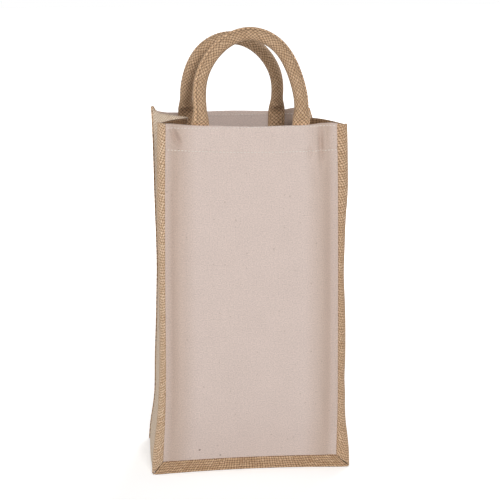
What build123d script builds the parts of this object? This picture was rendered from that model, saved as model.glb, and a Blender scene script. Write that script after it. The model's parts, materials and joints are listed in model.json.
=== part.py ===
from build123d import *
from math import atan, sqrt, tan
import os

# Two-bottle wine gift bag: cotton canvas front and back, jute gussets and borders, and two
# padded rope handles that swing at the rim. Millimetres. +X is the bag's right as seen from
# the front, +Y is its back and +Z is up. The origin is on the floor, under the base's middle.

# ---------------------------------------------------------------- the bag
BAG_WIDTH = 200.0  # side to side
BAG_HEIGHT = 360.0  # floor to rim
BASE_DEPTH = 100.0  # front to back at the base, which is the gusset cloth's full width
MOUTH_DEPTH = 80.0  # front to back at the rim, where the gussets fold inwards

COTTON_THICKNESS = 1.2
JUTE_THICKNESS = 1.6
BORDER_WIDTH = 13.0  # jute strip round the sides and foot of each face
HEM_DEPTH = 26.0  # cotton turned down inside the rim
SEAM_GAP = 0.1  # left between sewn pieces whose faces aren't parallel

# ---------------------------------------------------------------- the sewing thread
THREAD_WIDTH = 0.8
THREAD_RISE = 0.4  # how far a row of stitches stands off the cloth
RIM_ROW_DROP = 3.0  # top row of stitches, below the rim
THREAD_INSET = 1.0  # clear cloth between a row's ends and the cotton's edge

# ---------------------------------------------------------------- the handles
HANDLE_SPREAD = 98.0  # between the two legs' centres
HANDLE_RISE = 90.0  # rim to the top of the arch, with the handle upright
HANDLE_STRAIGHT = 10.0  # each leg's straight length above its hinge, before the arch
HANDLE_DIAMETER = 14.0
COVER_THICKNESS = 1.5  # woven sleeve round the rope
ROPE_CLEARANCE = 0.2
FRONT_HANDLE_LEAN = 4.0  # degrees from upright, towards the middle of the mouth
BACK_HANDLE_LEAN = 17.0
BACK_HANDLE_OFFSET = -12.0  # its middle is sewn a little to the left of the bag's
SWING_GAP = 0.4  # between the rim and the handle as it turns over it

TAB_WIDTH = 17.0  # sleeve end, pressed flat
TAB_LENGTH = 30.0
TAB_THICKNESS = 2.4
TAB_STITCH_MARGIN = 2.5

# ---------------------------------------------------------------- worked out from the sizes above
lean = atan((BASE_DEPTH - MOUTH_DEPTH) / 2 / BAG_HEIGHT)
mouth_fold = sqrt((BASE_DEPTH / 2) ** 2 - (MOUTH_DEPTH / 2) ** 2)
cotton_half_width = BAG_WIDTH / 2 - BORDER_WIDTH
handle_radius = HANDLE_DIAMETER / 2
hinge_rise = handle_radius + SWING_GAP
arch_height = HANDLE_RISE - hinge_rise - HANDLE_STRAIGHT - handle_radius
tab_inset = 2 * COTTON_THICKNESS + SEAM_GAP


def front_y(height):
    """Where the outer side of the leaning front stands, at one height."""
    return -BASE_DEPTH / 2 + height * tan(lean)


def rectangle(left, right, low, high):
    return [(left, low), (right, low), (right, high), (left, high)]


def cloth_on_front(outline, thickness, inset=0.0):
    """A flat piece cut to an outline of (x, height) points, laid on the leaning front."""
    corners = [(x, front_y(z) + inset, z) for x, z in outline]
    return extrude(make_face(Polyline(*corners, close=True)), amount=thickness, dir=(0, 1, 0))


def face_panel():
    """Cotton canvas, from the foot border to the rim, with its top edge turned down inside."""
    cloth = rectangle(-cotton_half_width, cotton_half_width, BORDER_WIDTH, BAG_HEIGHT)
    hem = rectangle(-cotton_half_width, cotton_half_width, BAG_HEIGHT - HEM_DEPTH, BAG_HEIGHT)
    return cloth_on_front(cloth, COTTON_THICKNESS) + cloth_on_front(hem, 2 * COTTON_THICKNESS)


def side_border(side):
    """Jute strip down one side of a face, mitred at its foot. side is -1 or 1."""
    outer = side * BAG_WIDTH / 2
    inner = side * cotton_half_width
    outline = [(outer, 0), (inner, BORDER_WIDTH), (inner, BAG_HEIGHT), (outer, BAG_HEIGHT)]
    return cloth_on_front(outline, JUTE_THICKNESS)


def foot_border():
    """Jute strip along the foot of a face, mitred at both ends."""
    outer = BAG_WIDTH / 2
    outline = [(-outer, 0), (outer, 0), (cotton_half_width, BORDER_WIDTH), (-cotton_half_width, BORDER_WIDTH)]
    return cloth_on_front(outline, JUTE_THICKNESS)


def gusset_section(side, height):
    """Cut through a gusset at one height: straight at the base, folded inwards at the rim."""
    seam_y = front_y(height) + JUTE_THICKNESS
    outer_x = side * BAG_WIDTH / 2
    crease_x = outer_x - side * mouth_fold * height / BAG_HEIGHT
    outer = [(outer_x, seam_y), (crease_x, 0), (outer_x, -seam_y)]
    inner = [(x - side * JUTE_THICKNESS, y) for x, y in reversed(outer)]
    return make_face(Polyline(*[(x, y, height) for x, y in outer + inner], close=True))


def gusset(side):
    """Jute side, sewn to the front and back borders, with a crease down its middle."""
    foot = JUTE_THICKNESS + SEAM_GAP
    return loft([gusset_section(side, foot), gusset_section(side, BAG_HEIGHT)], ruled=True)


def base_panel():
    """Jute base, lying flat on the floor between the foot borders."""
    depth = BASE_DEPTH - 2 * (JUTE_THICKNESS + SEAM_GAP)
    return Pos(0, 0, JUTE_THICKNESS / 2) * Box(BAG_WIDTH, depth, JUTE_THICKNESS)


def bottle_divider():
    """Cotton wall that keeps two bottles apart, caught at its top corners by the hem stitches."""
    low = JUTE_THICKNESS + SEAM_GAP
    high = BAG_HEIGHT - HEM_DEPTH - SEAM_GAP
    inset = JUTE_THICKNESS + SEAM_GAP
    corners = [(front_y(low) + inset, low), (front_y(high) + inset, high)]
    corners += [(-y, z) for y, z in reversed(corners)]
    left_face = make_face(Polyline(*[(-COTTON_THICKNESS / 2, y, z) for y, z in corners], close=True))
    return extrude(left_face, amount=COTTON_THICKNESS, dir=(1, 0, 0))


def stitch_row(height):
    """One row of stitches across the outside of a face."""
    half = cotton_half_width - THREAD_INSET
    outline = rectangle(-half, half, height - THREAD_WIDTH / 2, height + THREAD_WIDTH / 2)
    return cloth_on_front(outline, THREAD_RISE, inset=-THREAD_RISE)


def handle_tab(middle):
    """The sleeve's flattened end, sewn to the inside of the hem."""
    outline = rectangle(middle - TAB_WIDTH / 2, middle + TAB_WIDTH / 2, BAG_HEIGHT - TAB_LENGTH, BAG_HEIGHT)
    return cloth_on_front(outline, TAB_THICKNESS, inset=tab_inset)


def tab_stitches(middle):
    """A rectangle of stitches that holds one tab to the hem."""
    half = TAB_WIDTH / 2 - TAB_STITCH_MARGIN
    low = BAG_HEIGHT - TAB_LENGTH + TAB_STITCH_MARGIN
    high = BAG_HEIGHT - TAB_STITCH_MARGIN
    inset = tab_inset + TAB_THICKNESS
    outside = rectangle(middle - half, middle + half, low, high)
    inner_half = half - THREAD_WIDTH
    inside = rectangle(middle - inner_half, middle + inner_half, low + THREAD_WIDTH, high - THREAD_WIDTH)
    return cloth_on_front(outside, THREAD_RISE, inset) - cloth_on_front(inside, THREAD_RISE, inset)


def round_arch(radius, outset=0.0, foot=0.0):
    """A round bar bent to the handle's tall arch in the XZ plane, with the hinge line at z = 0.

    outset moves its path outwards from the handle's middle, and foot starts it lower down.
    """
    half = HANDLE_SPREAD / 2 + outset
    right_leg = Line((half, 0, -foot), (half, 0, HANDLE_STRAIGHT))
    top = Plane.XZ * EllipticalCenterArc((0, HANDLE_STRAIGHT), half, arch_height + outset, arc_size=180)
    left_leg = Line((-half, 0, HANDLE_STRAIGHT), (-half, 0, -foot))
    path = Wire([right_leg, top, left_leg])
    return sweep(Plane(origin=(half, 0, -foot), z_dir=(0, 0, 1)) * Circle(radius), path=path)


def at_both_legs(shape):
    """The same shape at the foot of each leg."""
    half = HANDLE_SPREAD / 2
    return [Pos(-half, 0, 0) * shape, Pos(half, 0, 0) * shape]


def handle_cover():
    """Woven sleeve round the rope, its two feet rounded where they turn over the rim."""
    round_foot = Sphere(handle_radius, arc_size1=-90, arc_size2=0)
    bore = round_arch(handle_radius - COVER_THICKNESS, foot=HANDLE_DIAMETER)
    return round_arch(handle_radius) + at_both_legs(round_foot) - bore


def handle_core():
    """Rope that fills the sleeve and rounds off level with its feet."""
    radius = handle_radius - COVER_THICKNESS - ROPE_CLEARANCE
    end = Cylinder(radius, handle_radius, align=(Align.CENTER, Align.CENTER, Align.MAX))
    return round_arch(radius) + at_both_legs(end & Sphere(handle_radius))


def handle_seam():
    """Thread that closes the sleeve, along the outside of the arch."""
    thread_radius = THREAD_WIDTH / 2
    return round_arch(thread_radius, outset=handle_radius + thread_radius + SEAM_GAP)


def on_front_hinge(shape, offset, tilt):
    """Stand a handle piece on the front's hinge line, leaning tilt degrees towards the back."""
    hinge_y = front_y(BAG_HEIGHT) + tab_inset + TAB_THICKNESS / 2
    return Pos(offset, hinge_y, BAG_HEIGHT + hinge_rise) * Rot(X=-tilt) * shape


def face_pieces(name, offset, tilt):
    """Everything that makes the bag's front, with its handle offset and tilted as given."""
    left_leg = offset - HANDLE_SPREAD / 2
    right_leg = offset + HANDLE_SPREAD / 2
    return {
        f"{name}_panel": face_panel(),
        f"{name}_left_border": side_border(-1),
        f"{name}_right_border": side_border(1),
        f"{name}_foot_border": foot_border(),
        f"{name}_rim_stitches": stitch_row(BAG_HEIGHT - RIM_ROW_DROP),
        f"{name}_hem_stitches": stitch_row(BAG_HEIGHT - HEM_DEPTH),
        f"{name}_handle_left_tab": handle_tab(left_leg),
        f"{name}_handle_right_tab": handle_tab(right_leg),
        f"{name}_tab_stitches": Compound([tab_stitches(left_leg), tab_stitches(right_leg)]),
        f"{name}_handle_cover": on_front_hinge(handle_cover(), offset, tilt),
        f"{name}_handle_rope": on_front_hinge(handle_core(), offset, tilt),
        f"{name}_handle_seam": on_front_hinge(handle_seam(), offset, tilt),
    }


pieces = face_pieces("front", 0, FRONT_HANDLE_LEAN)
for piece_name, piece in face_pieces("back", BACK_HANDLE_OFFSET, BACK_HANDLE_LEAN).items():
    pieces[piece_name] = mirror(piece, about=Plane.XZ)
pieces["left_gusset"] = gusset(-1)
pieces["right_gusset"] = gusset(1)
pieces["base_panel"] = base_panel()
pieces["bottle_divider"] = bottle_divider()

os.makedirs("parts", exist_ok=True)
for piece_name, piece in pieces.items():
    export_step(piece, f"parts/{piece_name}.step")
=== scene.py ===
import json
import math

import bmesh
import bpy
import numpy as np
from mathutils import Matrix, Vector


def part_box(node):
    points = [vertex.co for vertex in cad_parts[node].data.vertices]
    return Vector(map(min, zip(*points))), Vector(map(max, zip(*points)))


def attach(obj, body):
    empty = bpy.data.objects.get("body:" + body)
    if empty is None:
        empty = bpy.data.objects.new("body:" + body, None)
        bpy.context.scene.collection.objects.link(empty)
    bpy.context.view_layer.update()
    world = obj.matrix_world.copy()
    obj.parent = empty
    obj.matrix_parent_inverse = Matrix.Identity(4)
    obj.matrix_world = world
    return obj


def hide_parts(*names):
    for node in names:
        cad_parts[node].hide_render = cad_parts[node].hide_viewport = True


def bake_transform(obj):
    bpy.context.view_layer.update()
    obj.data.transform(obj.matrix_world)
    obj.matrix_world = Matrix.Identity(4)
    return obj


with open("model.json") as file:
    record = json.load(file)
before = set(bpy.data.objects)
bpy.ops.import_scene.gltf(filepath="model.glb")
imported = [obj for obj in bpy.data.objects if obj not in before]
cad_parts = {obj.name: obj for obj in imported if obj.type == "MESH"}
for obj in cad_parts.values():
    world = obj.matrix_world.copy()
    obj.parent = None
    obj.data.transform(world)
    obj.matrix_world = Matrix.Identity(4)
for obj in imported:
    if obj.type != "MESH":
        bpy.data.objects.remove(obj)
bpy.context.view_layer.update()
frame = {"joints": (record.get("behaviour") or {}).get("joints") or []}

# ------------------------------------------------------------------ canvas faces
# The front and back are heavy unbleached cotton canvas. Each is sewn into its jute frame, stands
# a little proud in the middle, dips beside the side seams, and is turned down inside at the rim.

MM = 0.001


def in_mm(corner):
    return np.array(corner) / MM


base_half_depth = -in_mm(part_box("front_foot_border")[0])[1]
jute_thickness = in_mm(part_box("base_panel")[1])[2]
mouth_half_depth = jute_thickness - in_mm(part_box("front_left_border")[1])[1]
rim_height = in_mm(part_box("front_panel")[1])[2]
foot_height = in_mm(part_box("front_panel")[0])[2]
hem_depth = rim_height - in_mm(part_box("front_hem_stitches")[0])[2]
canvas_thickness = 1.1
hem_roll = 1.2


def smooth_line(at, *stops):
    """Read a smooth line through (place, value) stops."""
    places, values = np.array(stops, float).T
    slopes = np.gradient(values, places)
    at = np.clip(at, places[0], places[-1])
    left = np.clip(np.searchsorted(places, at) - 1, 0, len(places) - 2)
    step = places[left + 1] - places[left]
    t = (at - places[left]) / step
    start = values[left] * (1 + 2 * t) * (1 - t) ** 2 + slopes[left] * step * t * (1 - t) ** 2
    end = values[left + 1] * t**2 * (3 - 2 * t) - slopes[left + 1] * step * t**2 * (1 - t)
    return start + end


def ease(t):
    t = np.clip(t, 0, 1)
    return t * t * (3 - 2 * t)


def canvas_half_width(z):
    return smooth_line(z, (0, 89.5), (50, 88.4), (100, 87.4), (190, 86.6), (320, 84.6), (360, 83.5))


def face_half_width(z):
    low_part = ((0, 100.5), (16, 100.2), (58, 96), (100, 93.6))
    return smooth_line(z, *low_part, (190, 92.3), (300, 92), (360, 91.5))


def corner_turn(z):
    """How far back the jute frame turns round the bag's upright edges."""
    return smooth_line(z, (0, 1.5), (16, 3), (58, 8), (100, 10), (190, 11), (300, 10.5), (360, 9))


def dent(x, z, at_x, at_z, slant, width, height, depth):
    across = (x - at_x - slant * (z - at_z)) / width
    return depth * np.exp(-(across**2) - ((z - at_z) / height) ** 2)


def skin_depth(x, z):
    """How far a face's outer side stands from the bag's middle, across its canvas and frame."""
    half = canvas_half_width(z)
    flat = base_half_depth + (mouth_half_depth - base_half_depth) * z / rim_height
    inwards = half - np.abs(x)
    low_part = ((0, 0), (13, 0.1), (60, 0.8), (120, 1))
    fullness = smooth_line(z, *low_part, (240, 1), (310, 0.7), (345, 0.25), (360, 0.12))
    crown = fullness * (5.2 * ease((inwards - 5) / 14) + 3.0 * ease((inwards - 10) / 55))
    groove = 1.8 * fullness * np.exp(-(((inwards - 6) / 4.5) ** 2))
    bow = 6 * np.exp(-((z / 45) ** 2)) * (1 - np.clip(np.abs(x) / 100, 0, 1) ** 2)
    round_x = np.clip(-inwards / (face_half_width(z) - half), 0, 1)
    turn = corner_turn(z) * (1 - np.sqrt(1 - round_x**2))
    return flat + crown - groove - bow - turn


def front_dents(x, z):
    """The small upright folds that the handles and the gussets pull in the hem."""
    folds = dent(x, z, -73.5, 346, -0.42, 3.2, 9, 5.8) + dent(x, z, 68, 337, -0.03, 2.3, 17, 5.2)
    folds += dent(x, z, 57, 330, 0, 2.2, 6, 2.4) + dent(x, z, -64, 336, 0.1, 2.6, 10, 1.2)
    folds += dent(x, z, -20, 345, 0, 3, 9, 0.6) + dent(x, z, 23, 345, 0, 3, 9, 0.6)
    folds += dent(x, z, 76, 350, 0.1, 1.8, 8, 1.4) + dent(x, z, -45, 330, 0, 3, 8, 0.6)
    folds += dent(x, z, 62, 300, -0.1, 3.5, 12, 1.0) + dent(x, z, -75, 310, 0.1, 3, 12, 0.9)
    folds += dent(x, z, 78, 62, -0.12, 5, 30, 1.6)
    return folds + 0.4 * np.exp(-(((z - (rim_height - hem_depth)) / 1.3) ** 2))


def front_rim(x):
    """Rim height: the handles' feet draw the front's edge down, and it sags between them."""
    pull = np.exp(-(((np.abs(x) - 50) / 16) ** 2))
    sag = 4.0 * np.exp(-(((x - 5) / 48) ** 2))
    slope = smooth_line(x, (-92, -0.4), (-60, -1.2), (0, -1.6), (50, -2.0), (80, -2.6), (92, -5.0))
    return rim_height + slope - 0.8 * pull - sag + 0.4 * np.cos(x / 21)


def back_rim(x):
    """The back's edge stands up at its corners, most at the left."""
    left_tip = 5.2 * ease((-x - 86) / 5) + 2.0 * ease((-x - 68) / 20)
    return rim_height - 2 + left_tip + 3.2 * ease((x - 50) / 30) + 0.5 * np.cos(x / 17)


def front_place(x, z):
    """The front's canvas is sewn in a little to the left of its frame's outer edges at the foot."""
    return x - 2.5 * np.exp(-((z / 52) ** 2)) * ease((100.5 - np.abs(x)) / 11.5)


def back_place(x, z):
    """The soft back leans to the left as it rises, and its right edge curls inwards at the rim."""
    low_part = ((0, 0), (40, 0.5), (100, -1.5), (160, -0.3))
    left = smooth_line(z, *low_part, (190, 0.6), (270, -0.2), (330, -1.7), (364, -3.4))
    right = smooth_line(z, (0, 0), (120, -3), (250, -10), (330, -20), (364, -28))
    return x + left + (right - left) * np.clip((x + 95) / 190, 0, 1)


def upright_rows(low, high, spacing, hem):
    """Heights up a cloth wall from low to high, then over the rolled rim and down inside.

    Gives each row's place from 0 at low to 1 at high, its inset, its drop from the rim and the
    length of cloth used so far. With no hem the cloth ends at the rim.
    """
    count = max(int((high - low) / spacing), 2)
    up = np.linspace(0, 1, count)
    rows = [(t, 0.0, 0.0, t * (high - low)) for t in up]
    if hem:
        for turn in np.linspace(0, math.pi, 8)[1:]:
            inset, drop = hem_roll * (1 - math.cos(turn)), -hem_roll * math.sin(turn)
            rows.append((1, inset, drop, high - low + hem_roll * turn))
        used = high - low + hem_roll * math.pi
        for down in np.linspace(0, hem, int(hem / spacing))[1:]:
            rows.append((1, 2 * hem_roll, down, used + down))
    return np.array(rows)


def sheet_of_cloth(name, points, uv, thickness, material, body="bag"):
    """Weave a grid of points (rows, columns, xyz in mm) into a sheet with a thickness behind it."""
    rows, columns = points.shape[:2]
    index = np.arange(rows * columns).reshape(rows, columns)
    quads = np.stack([index[:-1, :-1], index[:-1, 1:], index[1:, 1:], index[1:, :-1]], axis=-1)
    quads = quads.reshape(-1, 4)
    mesh = bpy.data.meshes.new(name)
    mesh.from_pydata((points.reshape(-1, 3) * MM).tolist(), [], quads.tolist())
    layer = mesh.uv_layers.new(name="cloth_mm")
    layer.data.foreach_set("uv", uv.reshape(-1, 2)[quads.ravel()].ravel())
    mesh.shade_smooth()
    mesh.materials.append(material)
    piece = bpy.data.objects.new(name, mesh)
    bpy.context.scene.collection.objects.link(piece)
    if thickness:
        solid = piece.modifiers.new("thickness", "SOLIDIFY")
        solid.thickness = thickness * MM
        solid.offset = -1
    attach(piece, body)
    return piece


def wall(outline, across, low, high, spacing, hem=0.0):
    """Points and cloth lengths of a wall of the bag.

    outline(t, z) gives plan points anticlockwise round the bag as t goes along across, and low(t)
    and high(t) are the wall's bottom and top there.
    """
    t = np.array(across, float)
    bottom, top = low(t), high(t)
    rows = upright_rows(bottom.min(), top.max(), spacing, hem)
    share, row_inset, drop, used = [column[:, None] for column in rows.T]
    z = bottom + (top - bottom) * share - drop
    shape_z = np.minimum(z, top)
    nudge = 1e-3
    x, y = outline(t + 0 * z, shape_z)
    x_on, y_on = outline(t + nudge + 0 * z, shape_z)
    x_off, y_off = outline(t - nudge + 0 * z, shape_z)
    along_x, along_y = x_on - x_off, y_on - y_off
    length = np.hypot(along_x, along_y) + 1e-9
    x, y = x - along_y / length * row_inset, y + along_x / length * row_inset
    points = np.stack([x, y, z], axis=-1)
    middle = points[len(points) // 2]
    steps = np.linalg.norm(np.diff(middle[:, :2], axis=0), axis=1)
    width = np.concatenate([[0], np.cumsum(steps)])
    uv = np.stack([width + 0 * z, used + bottom.min() + 0 * z], axis=-1)
    return points, uv


def linear(colour):
    """An sRGB hex colour as the linear values that a shader takes."""
    channels = [int(colour[i : i + 2], 16) / 255 for i in (1, 3, 5)]
    return [c / 12.92 if c <= 0.04045 else ((c + 0.055) / 1.055) ** 2.4 for c in channels] + [1.0]


def add_node(tree, kind, links, **settings):
    """Add one node. links gives its inputs' values, or the outputs that feed them."""
    made = tree.nodes.new(kind)
    for name, value in settings.items():
        setattr(made, name, value)
    for socket, value in links.items():
        if isinstance(value, bpy.types.NodeSocket):
            tree.links.new(value, made.inputs[socket])
        else:
            made.inputs[socket].default_value = value
    return made


def new_material(name):
    material = bpy.data.materials.new(name)
    material.use_nodes = True
    return material, material.node_tree, material.node_tree.nodes["Principled BSDF"]


def plain_weave(tree, pitch, turn=0.0, waver=0.12):
    """Over-and-under yarns pitch mm apart, turned by turn degrees on the cloth.

    Gives the yarns' height from 0 in the holes to 1, which yarn is on top (0 weft, 1 warp), and
    the turned cloth coordinates in yarns.
    """
    place = add_node(tree, "ShaderNodeUVMap", {}, uv_map="cloth_mm")
    scale = (1 / pitch, 1 / pitch, 1 / pitch)
    turning = (0, 0, math.radians(turn))
    turned = add_node(tree, "ShaderNodeMapping", {0: place.outputs[0], 2: turning, 3: scale})
    wander = add_node(tree, "ShaderNodeTexNoise", {0: turned.outputs[0], "Scale": 0.35, "Detail": 2.0})
    offset = add_node(
        tree, "ShaderNodeVectorMath", {0: wander.outputs[1], 1: (0.5, 0.5, 0.5)}, operation="SUBTRACT"
    )
    yarns = add_node(
        tree,
        "ShaderNodeVectorMath",
        {0: offset.outputs[0], 1: (waver * 8, waver * 8, 0), 2: turned.outputs[0]},
        operation="MULTIPLY_ADD",
    )
    half_turns = (math.pi, math.pi, 0)
    angle = add_node(
        tree, "ShaderNodeVectorMath", {0: yarns.outputs[0], 1: half_turns}, operation="MULTIPLY"
    )
    wave = add_node(tree, "ShaderNodeVectorMath", {0: angle.outputs[0]}, operation="SINE")
    signed = add_node(tree, "ShaderNodeSeparateXYZ", {0: wave.outputs[0]})
    size = add_node(tree, "ShaderNodeVectorMath", {0: wave.outputs[0]}, operation="ABSOLUTE")
    sizes = add_node(tree, "ShaderNodeSeparateXYZ", {0: size.outputs[0]})
    both = add_node(
        tree, "ShaderNodeMath", {0: signed.outputs[0], 1: signed.outputs[1]}, operation="MULTIPLY"
    )
    on_top = add_node(
        tree,
        "ShaderNodeMath",
        {0: both.outputs[0], 1: 6.0, 2: 0.5},
        operation="MULTIPLY_ADD",
        use_clamp=True,
    )
    rises = []
    for along, across in ((1, 0), (0, 1)):
        yarn_round = add_node(
            tree, "ShaderNodeMath", {0: sizes.outputs[along], 1: 0.6}, operation="POWER"
        )
        yarn_rise = add_node(
            tree, "ShaderNodeMath", {0: sizes.outputs[across], 1: 0.45, 2: 0.55}, operation="MULTIPLY_ADD"
        )
        yarn = add_node(
            tree,
            "ShaderNodeMath",
            {0: yarn_round.outputs[0], 1: yarn_rise.outputs[0]},
            operation="MULTIPLY",
        )
        rises.append(yarn.outputs[0])
    height = add_node(
        tree, "ShaderNodeMix", {0: on_top.outputs[0], 2: rises[0], 3: rises[1]}, data_type="FLOAT"
    )
    return height.outputs[0], on_top.outputs[0], turned.outputs[0]


def cotton_canvas(name, colour, width):
    """Unbleached cotton canvas, 12 oz, plain woven and washed: matt, faintly streaked along its
    yarns, with a few dark specks of seed husk. The real yarns are 0.5 mm apart, drawn at 0.9 mm.
    The cloth is width mm wide, and a band of painted shade darkens it beside its seams.
    """
    material, tree, shader = new_material(name)
    height, on_top, yarns = plain_weave(tree, 0.9, waver=0.05)
    streak_place = add_node(tree, "ShaderNodeMapping", {0: yarns, 3: (0.7, 0.05, 1)})
    streaks = add_node(
        tree, "ShaderNodeTexNoise", {0: streak_place.outputs[0], "Scale": 1.0, "Detail": 3.0}
    )
    cross_place = add_node(tree, "ShaderNodeMapping", {0: yarns, 3: (0.05, 0.7, 1)})
    cross_streaks = add_node(
        tree, "ShaderNodeTexNoise", {0: cross_place.outputs[0], "Scale": 1.0, "Detail": 3.0}
    )
    cloud = add_node(tree, "ShaderNodeTexNoise", {0: yarns, "Scale": 0.03, "Detail": 3.0})
    grain = add_node(
        tree, "ShaderNodeTexNoise", {0: yarns, "Scale": 0.7, "Detail": 4.0, "Roughness": 0.7}
    )
    tone = add_node(
        tree, "ShaderNodeMath", {0: streaks.outputs[0], 1: 0.06, 2: 0.45}, operation="MULTIPLY_ADD"
    )
    for layer, share in ((cross_streaks, 0.06), (cloud, 0.08), (grain, 0.90)):
        summed = {0: layer.outputs[0], 1: share, 2: tone.outputs[0]}
        tone = add_node(tree, "ShaderNodeMath", summed, operation="MULTIPLY_ADD")
    dye = add_node(
        tree,
        "ShaderNodeMix",
        {0: 1.0, 6: linear(colour), 7: tone.outputs[0]},
        data_type="RGBA",
        blend_type="MULTIPLY",
    )
    place = add_node(tree, "ShaderNodeUVMap", {}, uv_map="cloth_mm")
    across = add_node(tree, "ShaderNodeSeparateXYZ", {0: place.outputs[0]})
    middle = width / 2
    off_middle = add_node(
        tree, "ShaderNodeMath", {0: across.outputs[0], 1: middle}, operation="SUBTRACT"
    )
    off_middle = add_node(tree, "ShaderNodeMath", {0: off_middle.outputs[0]}, operation="ABSOLUTE")
    # Painted shade: a band beside each side seam is darkened, standing in for the shade in the dips
    # there.
    near_seam = add_node(
        tree,
        "ShaderNodeMapRange",
        {0: off_middle.outputs[0], 1: middle - 40, 2: middle - 14, 3: 0.0, 4: 1.0},
        interpolation_type="SMOOTHSTEP",
    )
    at_seam = add_node(
        tree,
        "ShaderNodeMapRange",
        {0: off_middle.outputs[0], 1: middle - 12, 2: middle - 2, 3: 1.0, 4: 0.35},
        interpolation_type="SMOOTHSTEP",
    )
    seam_shade_share = add_node(
        tree, "ShaderNodeMath", {0: near_seam.outputs[0], 1: at_seam.outputs[0]}, operation="MULTIPLY"
    )
    # The colour that the painted seam shade multiplies the canvas by.
    seam_shaded = add_node(
        tree,
        "ShaderNodeMix",
        {0: 1.0, 6: dye.outputs[2], 7: linear("#ECE6DF")},
        data_type="RGBA",
        blend_type="MULTIPLY",
    )
    cloth = add_node(
        tree,
        "ShaderNodeMix",
        {0: seam_shade_share.outputs[0], 6: dye.outputs[2], 7: seam_shaded.outputs[2]},
        data_type="RGBA",
    )
    # Husks: how many yarns apart, their size in those steps, how dark they are and their colour.
    large_husks = (24.0, 0.06, 0.6, "#5E4028")
    small_husks = (6.0, 0.17, 0.22, "#7A5B43")
    for spacing, reach, strength, husk_colour in (large_husks, small_husks):
        husk = add_node(tree, "ShaderNodeTexVoronoi", {0: yarns, "Scale": 1 / spacing})
        husk_size = add_node(tree, "ShaderNodeSeparateColor", {0: husk.outputs[1]})
        husk_reach = add_node(
            tree,
            "ShaderNodeMath",
            {0: husk_size.outputs[0], 1: 2 * reach, 2: -reach},
            operation="MULTIPLY_ADD",
        )
        speck = add_node(
            tree, "ShaderNodeMath", {0: husk.outputs[0], 1: husk_reach.outputs[0]}, operation="LESS_THAN"
        )
        speck = add_node(
            tree, "ShaderNodeMath", {0: speck.outputs[0], 1: strength}, operation="MULTIPLY"
        )
        cloth = add_node(
            tree,
            "ShaderNodeMix",
            {0: speck.outputs[0], 6: cloth.outputs[2], 7: linear(husk_colour)},
            data_type="RGBA",
        )
    bump = add_node(tree, "ShaderNodeBump", {"Height": height, "Distance": 0.12 * MM, "Strength": 0.8})
    tree.links.new(cloth.outputs[2], shader.inputs["Base Color"])
    tree.links.new(bump.outputs[0], shader.inputs["Normal"])
    shader.inputs["Roughness"].default_value = 0.92
    shader.inputs["Specular IOR Level"].default_value = 0.2
    shader.inputs["Sheen Weight"].default_value = 0.08
    return material


canvas_cloth = cotton_canvas("cotton_canvas", "#DCCAC1", 182.0)


def front_canvas_outline(s, z):
    x = s * (canvas_half_width(z) + 3)
    return front_place(x, z), -(skin_depth(x, z) - front_dents(x, z))


def back_canvas_outline(s, z):
    x = -s * (canvas_half_width(z) + 3)
    return back_place(x, z), skin_depth(x, z) - 0.4 * dent(x, z, 60, 338, 0, 3, 16, 2)


under_foot_strip = 3
below_hem_stitches = 2.5
for side, outline, rim, left_to_right in (
    ("front", front_canvas_outline, front_rim, 1),
    ("back", back_canvas_outline, back_rim, -1),
):
    points, uv = wall(
        outline,
        np.linspace(-1, 1, 130),
        lambda s: 0 * s + foot_height - under_foot_strip,
        lambda s: rim(left_to_right * s * canvas_half_width(rim_height)),
        spacing=1.8,
        hem=hem_depth + below_hem_stitches,
    )
    canvas = sheet_of_cloth(
        f"{side}_canvas", points, uv, canvas_thickness, canvas_cloth
    )
    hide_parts(f"{side}_panel")

# ------------------------------------------------------------------ jute frame of each face
# Coarse jute strips, folded at their inner edge and lapped over the canvas. The side strips turn
# round the bag's upright edges to the gussets and are mitred with the foot strip at each corner.


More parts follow.
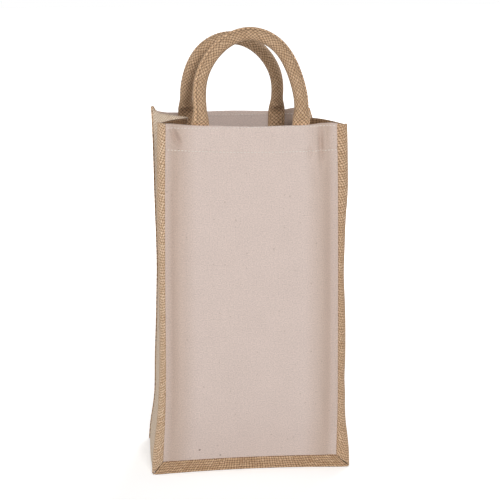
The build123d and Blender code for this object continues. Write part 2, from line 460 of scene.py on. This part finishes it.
def jute_cloth(name, pitch, turn, light, dark, hole):
    """Jute hessian, plain woven from coarse single yarns and left as it comes off the loom: matt,
    with uneven golden yarns and dark open holes. The real yarns are 1.3 to 1.7 mm apart. They are
    drawn up to 2.6 mm apart, pitch mm, because finer ones would blur away.
    """
    material, tree, shader = new_material(name)
    height, on_top, yarns = plain_weave(tree, pitch, turn, waver=0.16)
    warp_place = add_node(tree, "ShaderNodeMapping", {0: yarns, 3: (0.9, 0.07, 1)})
    weft_place = add_node(tree, "ShaderNodeMapping", {0: yarns, 3: (0.07, 0.9, 1)})
    warp_tone = add_node(
        tree, "ShaderNodeTexNoise", {0: warp_place.outputs[0], "Scale": 1.0, "Detail": 3.0}
    )
    weft_tone = add_node(
        tree, "ShaderNodeTexNoise", {0: weft_place.outputs[0], "Scale": 1.0, "Detail": 3.0}
    )
    tone = add_node(
        tree,
        "ShaderNodeMix",
        {0: on_top, 2: weft_tone.outputs[0], 3: warp_tone.outputs[0]},
        data_type="FLOAT",
    )
    spread = add_node(
        tree, "ShaderNodeMapRange", {0: tone.outputs[0], 1: 0.32, 2: 0.68, 3: 0.0, 4: 1.0}, clamp=True
    )
    yarn = add_node(
        tree,
        "ShaderNodeMix",
        {0: spread.outputs[0], 6: linear(dark), 7: linear(light)},
        data_type="RGBA",
    )
    open_hole = add_node(
        tree, "ShaderNodeMapRange", {0: height, 1: 0.25, 2: 0.75, 3: 0.0, 4: 1.0}, clamp=True
    )
    colour = add_node(
        tree,
        "ShaderNodeMix",
        {0: open_hole.outputs[0], 6: linear(hole), 7: yarn.outputs[2]},
        data_type="RGBA",
    )
    fibres = add_node(tree, "ShaderNodeTexNoise", {0: yarns, "Scale": 4.0, "Detail": 2.0})
    relief = add_node(
        tree, "ShaderNodeMath", {0: fibres.outputs[0], 1: 0.25, 2: height}, operation="MULTIPLY_ADD"
    )
    bump = add_node(
        tree, "ShaderNodeBump", {"Height": relief.outputs[0], "Distance": 0.45 * MM, "Strength": 1.0}
    )
    tree.links.new(colour.outputs[2], shader.inputs["Base Color"])
    tree.links.new(bump.outputs[0], shader.inputs["Normal"])
    shader.inputs["Roughness"].default_value = 0.85
    shader.inputs["Specular IOR Level"].default_value = 0.25
    shader.inputs["Sheen Weight"].default_value = 0.05
    return material


# The side strips' yarns run 24 degrees off upright, and their jute is a little paler.
frame_jute = jute_cloth("jute_hessian", 2.6, 0, "#E6C4A0", "#C09A76", "#7A583C")
left_frame_jute = jute_cloth("jute_hessian_left", 2.5, 24, "#F4D9BB", "#D2AE8B", "#8D6A4A")
right_frame_jute = jute_cloth("jute_hessian_right", 2.4, -24, "#EECEAD", "#CDA783", "#866343")
frame_rise = 1.3
fold_width = 0.12
off_floor = 0.25


def fold_lift(t):
    """The strip stands proud of the canvas, rounded down at its folded inner edge (t = 0)."""
    return frame_rise * np.sqrt(np.clip(1 - (1 - np.clip(t / fold_width, 0, 1)) ** 2, 0, 1)) - 0.2


def swell(hand, z):
    """How the side strips bulge and pinch along their seams."""
    if hand < 0:
        return smooth_line(z, (0, 2.4), (20, 1.6), (60, 0.3), (120, 0), (330, 0), (360, -0.6))
    low_part = ((0, 0), (33, 0), (48, 0.2), (63, 0.8), (78, 1.6), (94, 1.7), (110, 2.8))
    middle_part = ((150, 3.4), (172, 2.8), (200, 1.6), (235, 2.2), (262, 3))
    return smooth_line(z, *low_part, *middle_part, (285, 4.5), (322, 4.3), (353, 3.4), (360, 3))


def side_strip_outline(hand, place):
    """Plan points of a side strip. hand is 1 at the right, and place shifts its face's x."""

    def outline(t, z):
        along = t if hand > 0 else 1 - t
        half, edge = canvas_half_width(z), face_half_width(z)
        angle = np.clip(along, 0, 1) * math.pi / 2
        lift = fold_lift(along)
        x = half + (edge - half + 0.5 * lift + swell(hand, z)) * np.sin(angle)
        depth = skin_depth(half + 0 * z, z) - corner_turn(z) * (1 - np.cos(angle)) + lift * np.cos(angle)
        beyond = np.clip(along - 1, 0, 1) + np.clip(along, -1, 0)
        return place(hand * x, z), depth - 20 * beyond

    return outline


for side, place, rim, sign in (
    ("front", front_place, front_rim, -1),
    ("back", back_place, back_rim, 1),
):
    for hand_name, hand in (("left", -1), ("right", 1)):
        plan = side_strip_outline(hand, place)
        forward = sign < 0

        def outline(t, z, plan=plan, sign=sign, forward=forward):
            x, depth = plan(t if forward else 1 - t, z)
            return x, sign * depth

        inner_first = (hand > 0) == forward

        def mitre(t, inner_first=inner_first):
            towards_edge = t if inner_first else 1 - t
            return foot_height * (1 - np.sin(towards_edge * math.pi / 2)) + 0.3

        def strip_rim(t, inner_first=inner_first, hand=hand, rim=rim):
            towards_edge = t if inner_first else 1 - t
            return rim(hand * (canvas_half_width(rim_height) + 8 * np.sin(towards_edge * math.pi / 2)))

        points, uv = wall(
            outline,
            np.linspace(0, 1, 22),
            mitre,
            strip_rim,
            spacing=1.8,
            hem=hem_depth,
        )
        cloth = left_frame_jute if hand < 0 else right_frame_jute
        strip = sheet_of_cloth(f"{side}_{hand_name}_binding", points, uv, 1.2, cloth)
        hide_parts(f"{side}_{hand_name}_border")

    def foot_outline(s, z, place=place, sign=sign):
        right_swell, left_swell = swell(1, 0 * z), swell(-1, 0 * z)
        edge = face_half_width(0) + np.where(sign * s > 0, left_swell, right_swell)
        reach = edge + (canvas_half_width(foot_height) - edge) * np.clip(z / foot_height, 0, 1)
        x = -sign * s * (reach - 0.1)
        lift = fold_lift((foot_height + 0.4 - z) / foot_height)
        return place(x, z), sign * (skin_depth(x, z) + lift)

    points, uv = wall(
        foot_outline,
        np.linspace(-1, 1, 130),
        lambda s: 0 * s + off_floor,
        lambda s: 0 * s + foot_height + 0.4,
        spacing=0.7,
    )
    strip = sheet_of_cloth(f"{side}_foot_binding", points, uv, 1.2, frame_jute)
    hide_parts(f"{side}_foot_border")

# ------------------------------------------------------------------ gussets
# One strip of the same jute makes each side. It is creased down its middle, flat at the foot and
# folded inwards at the mouth, where its edge is left raw. Its outside is a paler copy of the jute,
# as painted light, and its inner side a darker, less rough copy, as painted shade of the inside.

# Painted light: the gussets' outside jute is much paler than the frame's, standing in for strong light
# from the left.
gusset_jute_painted_pale = jute_cloth("jute_hessian_gusset", 1.6, 30, "#F6E6D3", "#E2CBB3", "#AE9377")
# Painted shade: the gussets' inner side is a darker copy of the jute, standing in for the shade inside
# the bag.
inner_jute_painted_shade = jute_cloth("inner_jute_painted_shade", 2.0, 0, "#A98765", "#86684B", "#543B26")
inner_jute_painted_shade.node_tree.nodes["Principled BSDF"].inputs["Roughness"].default_value = 0.5


def gusset_fold(z):
    return smooth_line(z, (0, -1), (30, -1.5), (80, 2), (190, 11), (280, 21), (360, 31))


def gusset_outline(hand):
    def outline(t, z):
        towards_back = t if hand > 0 else 1 - t
        edge = face_half_width(z) + swell(hand, z) - 0.6
        depth = skin_depth(canvas_half_width(z) + 0 * z, z) - corner_turn(z) + 0.5
        front_x, back_x = hand * edge, back_place(hand * edge, z)
        from_crease = 2 * towards_back - 1
        soft = 0.10
        tent = 1 - (np.sqrt(from_crease**2 + soft**2) - soft) / (math.sqrt(1 + soft**2) - soft)
        sag = 2.2 * np.sin(math.pi * np.abs(from_crease)) ** 2 * ease(z / 200)
        x = front_x + (back_x - front_x) * towards_back - hand * (gusset_fold(z) * tent - sag)
        return x, depth * from_crease

    return outline


def gusset_rim(hand):
    """Rim height from the front corner, over the crease, to the back corner."""
    if hand > 0:
        drops = ((0, 4.8), (0.15, 2.6), (0.3, 1.2), (0.5, 2.2), (0.8, 0.5), (1, -2.6))
    else:
        drops = ((0, 0.6), (0.2, 0.0), (0.5, 0.4), (0.75, -0.2), (0.94, -1.6), (1, -4.4))
    return lambda t: rim_height - smooth_line(t if hand > 0 else 1 - t, *drops)


for hand_name, hand in (("left", -1), ("right", 1)):
    points, uv = wall(
        gusset_outline(hand),
        np.linspace(0, 1, 90),
        lambda t: 0 * t + 0.4,
        gusset_rim(hand),
        spacing=2.2,
    )
    gusset = sheet_of_cloth(f"{hand_name}_gusset_cloth", points, uv, 1.2, gusset_jute_painted_pale)
    gusset.data.materials.append(inner_jute_painted_shade)
    gusset.modifiers["thickness"].material_offset = 1
    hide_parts(f"{hand_name}_gusset")

# ------------------------------------------------------------------ base
# A rectangle of the same jute, sewn to the foot strips and the gussets, flat on what it stands on.

base_across = np.linspace(-1, 1, 90)
base_along = np.linspace(-1, 1, 50)
across_grid, along_grid = np.meshgrid(base_across, base_along)
base_x = across_grid * (face_half_width(0) - 0.4)
base_y = along_grid * (skin_depth(base_x, 0 * base_x) - 0.6)
base_z = 1.5 + 0 * base_x
base_points = np.stack([base_x, base_y, base_z], axis=-1)
base = sheet_of_cloth("base_cloth", base_points, base_points[..., :2].copy(), 1.4, frame_jute)
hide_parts("base_panel")

# ------------------------------------------------------------------ bottle divider
# A piece of the canvas that hangs between the hems and keeps two bottles from knocking together.

# The same canvas, given a 400 mm width, which sets where its band of painted seam shade falls.
divider_canvas = cotton_canvas("cotton_canvas_divider", "#DCCAC1", 400.0)
divider_top = in_mm(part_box("bottle_divider")[1])[2]
divider_rows = np.linspace(2.2, divider_top - 1.5, 120)
divider_columns = np.linspace(-1, 1, 40)
column_grid, row_grid = np.meshgrid(divider_columns, divider_rows)
divider_y = column_grid * (skin_depth(0 * row_grid, row_grid) - 3.0)
slack = 1 - column_grid**2
divider_x = 3.5 * slack * np.sin(row_grid / 70) - 1.0
divider_z = row_grid - 9 * slack * ease((row_grid - 200) / 130)
divider_points = np.stack([divider_x, divider_y, divider_z], axis=-1)
divider_uv = np.stack([divider_y, row_grid], axis=-1)
divider = sheet_of_cloth(
    "divider_cloth", divider_points, divider_uv, 0.9, divider_canvas
)
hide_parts("bottle_divider")

# ------------------------------------------------------------------ stitch rows
# Lockstitch in white cotton thread, one stitch every 3.4 mm. The lower row holds the turned hem
# and the upper one keeps the rim flat. Each stitch is a short soft rod that sinks at its ends.


def sewing_thread(name, dark, light):
    """Twisted cotton sewing thread: matt, with the faint ribs of its plies."""
    material, tree, shader = new_material(name)
    place = add_node(tree, "ShaderNodeTexCoord", {})
    twist = add_node(
        tree, "ShaderNodeTexNoise", {0: place.outputs["Object"], "Scale": 900.0, "Detail": 2.0}
    )
    colour = add_node(
        tree, "ShaderNodeMix", {0: twist.outputs[0], 6: linear(dark), 7: linear(light)}, data_type="RGBA"
    )
    bump = add_node(tree, "ShaderNodeBump", {"Height": twist.outputs[0], "Distance": 0.1 * MM})
    tree.links.new(colour.outputs[2], shader.inputs["Base Color"])
    tree.links.new(bump.outputs[0], shader.inputs["Normal"])
    shader.inputs["Roughness"].default_value = 0.7
    return material


white_thread = sewing_thread("cotton_thread", "#D9CEC4", "#F6EFE8")
jute_thread = sewing_thread("jute_coloured_thread", "#9C7C5A", "#BF9E7A")


def stitches(name, runs, material, body, pitch=3.4, length=2.3, radius=0.42):
    """Short rods of thread along runs, each a list of points with the cloth's outward normals."""
    vertices, faces = [], []
    rings, sides = 6, 8
    for points, normals in runs:
        steps = np.linalg.norm(np.diff(points, axis=0), axis=1)
        run = np.concatenate([[0], np.cumsum(steps)])
        for start in np.arange(pitch / 2, run[-1] - length, pitch):
            first = len(vertices)
            for ring in range(rings):
                share = ring / (rings - 1)
                at = start + length * share
                centre = np.array([np.interp(at, run, points[:, i]) for i in range(3)])
                out = np.array([np.interp(at, run, normals[:, i]) for i in range(3)])
                ahead = np.array([np.interp(at + 0.2, run, points[:, i]) for i in range(3)]) - centre
                out /= np.linalg.norm(out)
                across = np.cross(ahead, out)
                across /= np.linalg.norm(across) + 1e-9
                plump = math.sin(math.pi * (0.12 + 0.76 * share))
                centre = centre + out * radius * (1.3 * plump - 0.7)
                for turn in np.linspace(0, 2 * math.pi, sides, endpoint=False):
                    reach = radius * (0.45 + 0.55 * plump)
                    spoke = across * math.cos(turn) + out * math.sin(turn)
                    vertices.append((centre + reach * spoke) * MM)
            for ring in range(rings - 1):
                for side in range(sides):
                    a, b = first + ring * sides + side, first + ring * sides + (side + 1) % sides
                    faces.append((a, b, b + sides, a + sides))
            faces.append(tuple(first + side for side in reversed(range(sides))))
            faces.append(tuple(first + (rings - 1) * sides + side for side in range(sides)))
    mesh = bpy.data.meshes.new(name)
    mesh.from_pydata([tuple(v) for v in vertices], [], faces)
    mesh.shade_smooth()
    mesh.materials.append(material)
    piece = bpy.data.objects.new(name, mesh)
    bpy.context.scene.collection.objects.link(piece)
    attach(piece, body)
    return piece


def row_on_face(outline, height, sag, tilt, inset, outwards):
    """Points and normals of a row of stitches across a face, on its outside or its inside."""
    s = np.linspace(-0.965, 0.965, 160)
    z = height - sag * (1 - s**2) - tilt * s
    x, y = outline(s, z)
    points = np.stack([x, y - outwards * inset, z], axis=-1)
    normals = np.tile([0.0, outwards, 0.0], (len(s), 1))
    return points, normals


rim_row = 0.5 * sum(in_mm(corner)[2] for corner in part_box("front_rim_stitches"))
hem_row = 0.5 * sum(in_mm(corner)[2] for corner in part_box("front_hem_stitches"))
inner_side = 2 * hem_roll + 0.1
for side, outline, sign in (("front", front_canvas_outline, -1), ("back", back_canvas_outline, 1)):
    for row_name, height, sag, tilt in (
        ("rim", rim_row - 1.3, 0.5, 0.0),
        ("hem", hem_row - 0.8, 2.0, 1.5),
    ):
        outside_row = row_on_face(outline, height, sag, tilt, 0.0, sign)
        inside_points, outwards = row_on_face(outline, height, sag, tilt, inner_side, sign)
        runs = [outside_row, (inside_points, -outwards)]
        row = stitches(f"{side}_{row_name}_thread", runs, white_thread, "bag")
        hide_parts(f"{side}_{row_name}_stitches")

# ------------------------------------------------------------------ handles
# Each handle is a cotton rope in a sleeve of jute cut on the bias, so that its weave shows as
# diamonds. The sleeve's long edge is folded over and sewn, and its ends are pressed flat and sewn
# inside the hem. The soft bend between the flat ends and the round handle is where it swings.

tab_low, tab_high = [in_mm(corner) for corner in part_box("front_handle_left_tab")]
tab_length = tab_high[2] - tab_low[2]
tab_half_width = (tab_high[0] - tab_low[0]) / 2
pressed_half_depth = 1.25
bias_stretch = 0.82
# The same jute, with painted light: a painted highlight on its raised fold, painted shade in the creases
# beside it, and its pressed ends painted paler.
sleeve_jute = jute_cloth("jute_bias_sleeve", 2.3, 45, "#F2CEA9", "#D3AD87", "#8D6D53")
sleeve_tree = sleeve_jute.node_tree
sleeve_shader = sleeve_tree.nodes["Principled BSDF"]
woven_colour = sleeve_shader.inputs["Base Color"].links[0].from_socket
# Painted light and shade along the sleeve, read from a mesh attribute.
painted_fold_light = add_node(sleeve_tree, "ShaderNodeAttribute", {}, attribute_name="painted_fold_light")
painted_fold_tone = add_node(
    sleeve_tree,
    "ShaderNodeMapRange",
    {0: painted_fold_light.outputs["Fac"], 1: 0.0, 2: 1.0, 3: 0.6, 4: 1.06},
    clamp=True,
)
painted_fold_colour = add_node(
    sleeve_tree,
    "ShaderNodeMix",
    {0: 1.0, 6: woven_colour, 7: painted_fold_tone.outputs[0]},
    data_type="RGBA",
    blend_type="MULTIPLY",
)
sleeve_tree.links.new(painted_fold_colour.outputs[2], sleeve_shader.inputs["Base Color"])

# Unbleached cotton rope, three strands twisted: matt and fuzzy, with short fibres 1 to 2 mm apart.
rope_cotton, rope_tree, rope_shader = new_material("twisted_cotton_rope")
rope_place = add_node(rope_tree, "ShaderNodeTexCoord", {})
rope_fibre = add_node(
    rope_tree, "ShaderNodeTexNoise", {0: rope_place.outputs["Object"], "Scale": 700.0, "Detail": 3.0}
)
rope_colour = add_node(
    rope_tree,
    "ShaderNodeMix",
    {0: rope_fibre.outputs[0], 6: linear("#A48C6A"), 7: linear("#D9C7A6")},
    data_type="RGBA",
)
rope_tree.links.new(rope_colour.outputs[2], rope_shader.inputs["Base Color"])
rope_shader.inputs["Roughness"].default_value = 0.9


class Handle:
    """One handle's bent line, in mm. side is -1 at the front, and lean is in degrees.

    The line runs up the left leg from the tab's lower end, over a tall arch and down the right.
    Each leg stands half from the middle and is straight for a little way above the hinge. The
    arch then rises rise further. skew and tip push it sideways, at its middle height and its top.
    """

    def __init__(self, side, middle, hinge, lean, half, straight, rise, radius, skew, tip):
        self.side, self.middle, self.hinge, self.lean = side, middle, hinge, math.radians(lean)
        self.half, self.radius = half, radius
        self.below = tab_length + hinge[1] - rim_height
        turn = np.linspace(0, math.pi, 900)
        leg = np.linspace(-self.below, straight, 300)[:-1]
        up = np.concatenate([leg, straight + rise * np.sin(turn), leg[::-1]])
        x = np.concatenate([-half + 0 * leg, -half * np.cos(turn), half + 0 * leg])
        share = np.clip(up / (straight + rise), 0, 1)
        x = x + skew * np.sin(math.pi * share) ** 2 + tip * ease(share)
        self.run = np.concatenate([[0], np.cumsum(np.hypot(np.diff(x), np.diff(up)))])
        self.length = self.run[-1]
        self.x, self.up = x, up
        self.ahead_x, self.ahead_up = np.gradient(x, self.run), np.gradient(up, self.run)

    def place(self, run):
        """The line's x, its height above the hinge and its outward side, at a length along it."""
        x, up, ahead_x, ahead_up = [
            np.interp(run, self.run, line) for line in (self.x, self.up, self.ahead_x, self.ahead_up)
        ]
        return x, up, -ahead_up, ahead_x

    def stand(self, x, depth, up):
        """Lean local points towards the mouth above the hinge; below it they follow the face."""
        lean = self.lean * ease((up + 6) / 14)
        above = np.where(up > 0, up, 0)
        below = np.where(up < 0, up, 0)
        out = depth * np.cos(lean) - above * np.sin(lean)
        z = self.hinge[1] + above * np.cos(lean) + depth * np.sin(lean) + below
        face = skin_depth(x, np.minimum(z, rim_height)) - 2 * hem_roll - 1.3
        base = self.hinge[0] + (face - self.hinge[0]) * ease(-below / 7)
        return np.stack([self.middle + x, self.side * (base + out), z], axis=-1)


def handle_section(handle, run):
    """Half width and half thickness of the sleeve at a length along it."""
    from_end = np.minimum(run, handle.length - run)
    above_rim = from_end - tab_length
    flat = 1 - ease((above_rim + 1) / 15)
    half_width = handle.radius + (tab_half_width - handle.radius) * flat
    pressed = 1 - ease((above_rim + 3) / 10)
    half_depth = handle.radius + (pressed_half_depth - handle.radius) * pressed
    return half_width, half_depth


def sleeve(name, handle, cloth):
    """The sleeve's mesh, with closer columns at the raised folded edge that runs along it."""
    left_part, right_part = np.linspace(-math.pi, -0.5, 26), np.linspace(0.5, math.pi, 26)
    away = np.concatenate([left_part, np.linspace(-0.46, 0.46, 24), right_part])
    run = np.linspace(0, handle.length, 400)
    run_grid, away_grid = np.meshgrid(run, away, indexing="ij")
    turn_grid = away_grid + handle.seam(run_grid)
    x, up, outside_x, outside_up = handle.place(run_grid)
    half_width, half_depth = handle_section(handle, run_grid)
    rounded = ease((np.minimum(run_grid, handle.length - run_grid) - tab_length + 4) / 8)
    fold = np.clip(1 - (np.abs(away_grid) / 0.24) ** 4, 0, 1)
    crevice = np.exp(-(((np.abs(away_grid) - 0.31) / 0.07) ** 2))
    ridge = rounded * (0.8 * fold - 0.35 * crevice)
    sideways = (half_width + ridge) * np.cos(turn_grid)
    forwards = (half_depth + ridge) * np.sin(turn_grid)
    points = handle.stand(x + outside_x * sideways, forwards, up + outside_up * sideways)
    uv = np.stack([turn_grid * handle.radius, bias_stretch * run_grid], axis=-1)
    piece = sheet_of_cloth(name, points, uv, 0, cloth)
    shade = piece.data.attributes.new("painted_fold_light", "FLOAT", "POINT")
    # Painted light: lighter on the raised fold, painted shade in the creases beside it, and paler on the
    # flat pressed ends.
    shade_value = 0.5 + 0.5 * rounded * (fold - crevice) + 0.35 * (1 - rounded)
    shade.data.foreach_set("value", shade_value.ravel())
    tube = bmesh.new()
    tube.from_mesh(piece.data)
    bmesh.ops.remove_doubles(tube, verts=tube.verts, dist=1e-3 * MM)
    bmesh.ops.holes_fill(tube, edges=[edge for edge in tube.edges if edge.is_boundary])
    tube.to_mesh(piece.data)
    tube.free()
    return piece


def seam_run(handle, lift):
    """Line and normals of the stitches along the sleeve's folded edge, lift mm above the sleeve."""
    run = np.linspace(handle.below + 1, handle.length - handle.below - 1, 300)
    x, up, outside_x, outside_up = handle.place(run)
    turn = handle.seam(run)
    half_width, half_depth = handle_section(handle, run)
    sideways, forwards = (half_width + lift) * np.cos(turn), (half_depth + lift) * np.sin(turn)
    points = handle.stand(x + outside_x * sideways, forwards, up + outside_up * sideways)
    sideways, forwards = sideways + np.cos(turn), forwards + np.sin(turn)
    further = handle.stand(x + outside_x * sideways, forwards, up + outside_up * sideways)
    return points, further - points


def rope(name, handle, body):
    """Three twisted strands that fill the sleeve between its feet."""
    strands, sides, along = 3, 10, 260
    strand_radius = 0.35 * handle.radius
    strand_offset, lay_length = 1.13 * strand_radius, 26.0
    run = np.linspace(handle.below - 3, handle.length - handle.below + 3, along)
    x, up, outside_x, outside_up = handle.place(run)
    vertices, faces = [], []
    for strand in range(strands):
        wind = 2 * math.pi * (run / lay_length + strand / strands)
        for side_turn in np.linspace(0, 2 * math.pi, sides, endpoint=False):
            sideways = strand_offset * np.cos(wind) + strand_radius * np.cos(side_turn)
            forwards = strand_offset * np.sin(wind) + strand_radius * np.sin(side_turn)
            vertices.append(handle.stand(x + outside_x * sideways, forwards, up + outside_up * sideways))
        start = strand * sides * along
        for side_number in range(sides):
            a, b = start + side_number * along, start + (side_number + 1) % sides * along
            faces += [(a + i, a + i + 1, b + i + 1, b + i) for i in range(along - 1)]
        faces.append([start + side_number * along for side_number in range(sides)])
        faces.append([start + (side_number + 1) * along - 1 for side_number in reversed(range(sides))])
    mesh = bpy.data.meshes.new(name)
    mesh.from_pydata((np.concatenate(vertices) * MM).tolist(), [], faces)
    mesh.shade_smooth()
    mesh.materials.append(rope_cotton)
    piece = bpy.data.objects.new(name, mesh)
    bpy.context.scene.collection.objects.link(piece)
    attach(piece, body)
    return piece


hinges = {joint["child"]: joint for joint in frame["joints"]}
front_line = dict(lean=4.0, half=49.3, straight=10.5, rise=66.5, radius=6.6, skew=-1.7, tip=-1.1)
back_line = dict(lean=17.0, half=46.3, straight=11.0, rise=60.5, radius=6.1, skew=1.0, tip=-2.3)
for side, sign, line in (("front", -1, front_line), ("back", 1, back_line)):
    hinge = in_mm(hinges[f"{side}_handle"]["pos_m"])
    cover_low, cover_high = [in_mm(corner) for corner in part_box(f"{side}_handle_cover")]
    middle = (cover_low[0] + cover_high[0]) / 2 - 0.6
    handle = Handle(sign, middle, (abs(hinge[1]), hinge[2]), **line)
    if side == "front":
        handle.seam = lambda run, handle=handle: 0.95 - 0.9 * run / handle.length
    else:
        handle.seam = lambda run, handle=handle: 0.4 + 0 * run
    body = f"{side}_handle"
    cover = sleeve(f"{side}_handle_sleeve", handle, sleeve_jute)
    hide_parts(f"{side}_handle_cover", f"{side}_handle_left_tab", f"{side}_handle_right_tab")
    # The sleeve runs between two bodies, so it is left as no body's child.
    cover.parent = None
    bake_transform(cover)
    strands = rope(f"{side}_handle_strands", handle, body)
    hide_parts(f"{side}_handle_rope")
    seam = stitches(
        f"{side}_handle_seam_thread",
        [seam_run(handle, 0.65)],
        jute_thread,
        body,
        pitch=3.0,
        length=2.2,
        radius=0.28,
    )
    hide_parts(f"{side}_handle_seam")

    box_runs = []
    for leg in (-1, 1):
        low, high = rim_height - tab_length + 3, rim_height - 3.5
        reach = tab_half_width - 2.2
        leg_x = leg * handle.half
        left, right = leg_x - reach, leg_x + reach
        corners = [(left, low), (right, low), (right, high), (left, high)]
        for (x0, z0), (x1, z1) in zip(corners, corners[1:] + corners[:1]):
            x, z = np.linspace(x0, x1, 20), np.linspace(z0, z1, 20)
            width_share = np.clip(np.abs(x - leg_x) / (tab_half_width + 0.5), 0, 1)
            bulge = pressed_half_depth * np.sqrt(1 - width_share**2)
            points = handle.stand(x, 0 * x, z - handle.hinge[1])
            points[:, 1] -= sign * bulge
            box_runs.append((points, np.tile([0.0, -sign, 0.0], (20, 1))))
    tabs = stitches(f"{side}_tab_thread", box_runs, jute_thread, "bag")
    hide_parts(f"{side}_tab_stitches")

# ------------------------------------------------------------------ floor, light and camera
# A pale studio floor that runs into a white surround, with one soft lamp in front and above, a
# weaker broad one at the left and one behind at the right.

# Matt studio paper, which glows towards the camera so that it fades into the white surround.
floor_paper, floor_tree, floor_shader = new_material("studio_paper")
floor_shader.inputs["Base Color"].default_value = linear("#F2F2F2")
floor_shader.inputs["Roughness"].default_value = 0.9
floor_shader.inputs["Emission Color"].default_value = (1, 1, 1, 1)
seen = add_node(floor_tree, "ShaderNodeLightPath", {})
floor_place = add_node(floor_tree, "ShaderNodeNewGeometry", {})
far = add_node(
    floor_tree, "ShaderNodeVectorMath", {0: floor_place.outputs["Position"]}, operation="LENGTH"
)
far_white = add_node(
    floor_tree, "ShaderNodeMapRange", {0: far.outputs[1], 1: 0.3, 2: 1.1, 3: 0.42, 4: 1.0}, clamp=True
)
floor_glow = add_node(
    floor_tree,
    "ShaderNodeMath",
    {0: seen.outputs["Is Camera Ray"], 1: far_white.outputs[0]},
    operation="MULTIPLY",
)
floor_tree.links.new(floor_glow.outputs[0], floor_shader.inputs["Emission Strength"])
floor_mesh = bpy.data.meshes.new("floor")
floor_corners = [(6.0 * x, 6.0 * y, 0) for x, y in ((-1, -1), (1, -1), (1, 1), (-1, 1))]
floor_mesh.from_pydata(floor_corners, [], [(0, 1, 2, 3)])
floor_mesh.materials.append(floor_paper)
floor = bpy.data.objects.new("floor", floor_mesh)
bpy.context.scene.collection.objects.link(floor)

world = bpy.data.worlds.new("white_surround")
world.use_nodes = True
bpy.context.scene.world = world
world_tree = world.node_tree
surround = world_tree.nodes["Background"]
surround.inputs["Color"].default_value = (1, 1, 1, 1)
paths = add_node(world_tree, "ShaderNodeLightPath", {})
seen_ray = paths.outputs["Is Camera Ray"]
for other_ray in ("Is Glossy Ray", "Is Transmission Ray"):
    either = add_node(
        world_tree,
        "ShaderNodeMath",
        {0: seen_ray, 1: paths.outputs[other_ray]},
        operation="ADD",
        use_clamp=True,
    )
    seen_ray = either.outputs[0]
level = add_node(world_tree, "ShaderNodeMix", {0: seen_ray, 2: 0.33, 3: 1.0}, data_type="FLOAT")
world_tree.links.new(level.outputs[0], surround.inputs["Strength"])


def soft_lamp(name, place, aim, size, power):
    lamp = bpy.data.lights.new(name, "AREA")
    lamp.size = size
    lamp.energy = power
    made = bpy.data.objects.new(name, lamp)
    made.location = place
    direction = np.array(aim) - np.array(place)
    made.rotation_euler = Vector(direction).to_track_quat("-Z", "Y").to_euler()
    bpy.context.scene.collection.objects.link(made)


object_middle = (0, 0, 0.23)
soft_lamp("key_lamp", (0.25, -2.0, 1.1), object_middle, size=0.6, power=20.8)
soft_lamp("side_lamp", (-1.9, -0.1, 0.6), object_middle, size=1.0, power=10.4)
soft_lamp("back_lamp", (0.9, 1.7, 1.2), object_middle, size=1.0, power=20)

camera = bpy.data.cameras.new("camera")
camera.sensor_width = 36.0
camera.lens = 98.4
camera_object = bpy.data.objects.new("camera", camera)
bpy.context.scene.collection.objects.link(camera_object)
turn_left, look_down, distance = math.radians(6.0), math.radians(14.5), 1.4
aim = Vector((0.0024, 0, 0.2216))
level_reach = math.cos(look_down)
sight = Vector(
    (math.sin(turn_left) * level_reach, math.cos(turn_left) * level_reach, -math.sin(look_down))
)
camera_object.location = aim - sight * distance
camera_object.rotation_euler = sight.to_track_quat("-Z", "Y").to_euler()
bpy.context.scene.camera = camera_object
bpy.context.scene.view_settings.view_transform = "Standard"
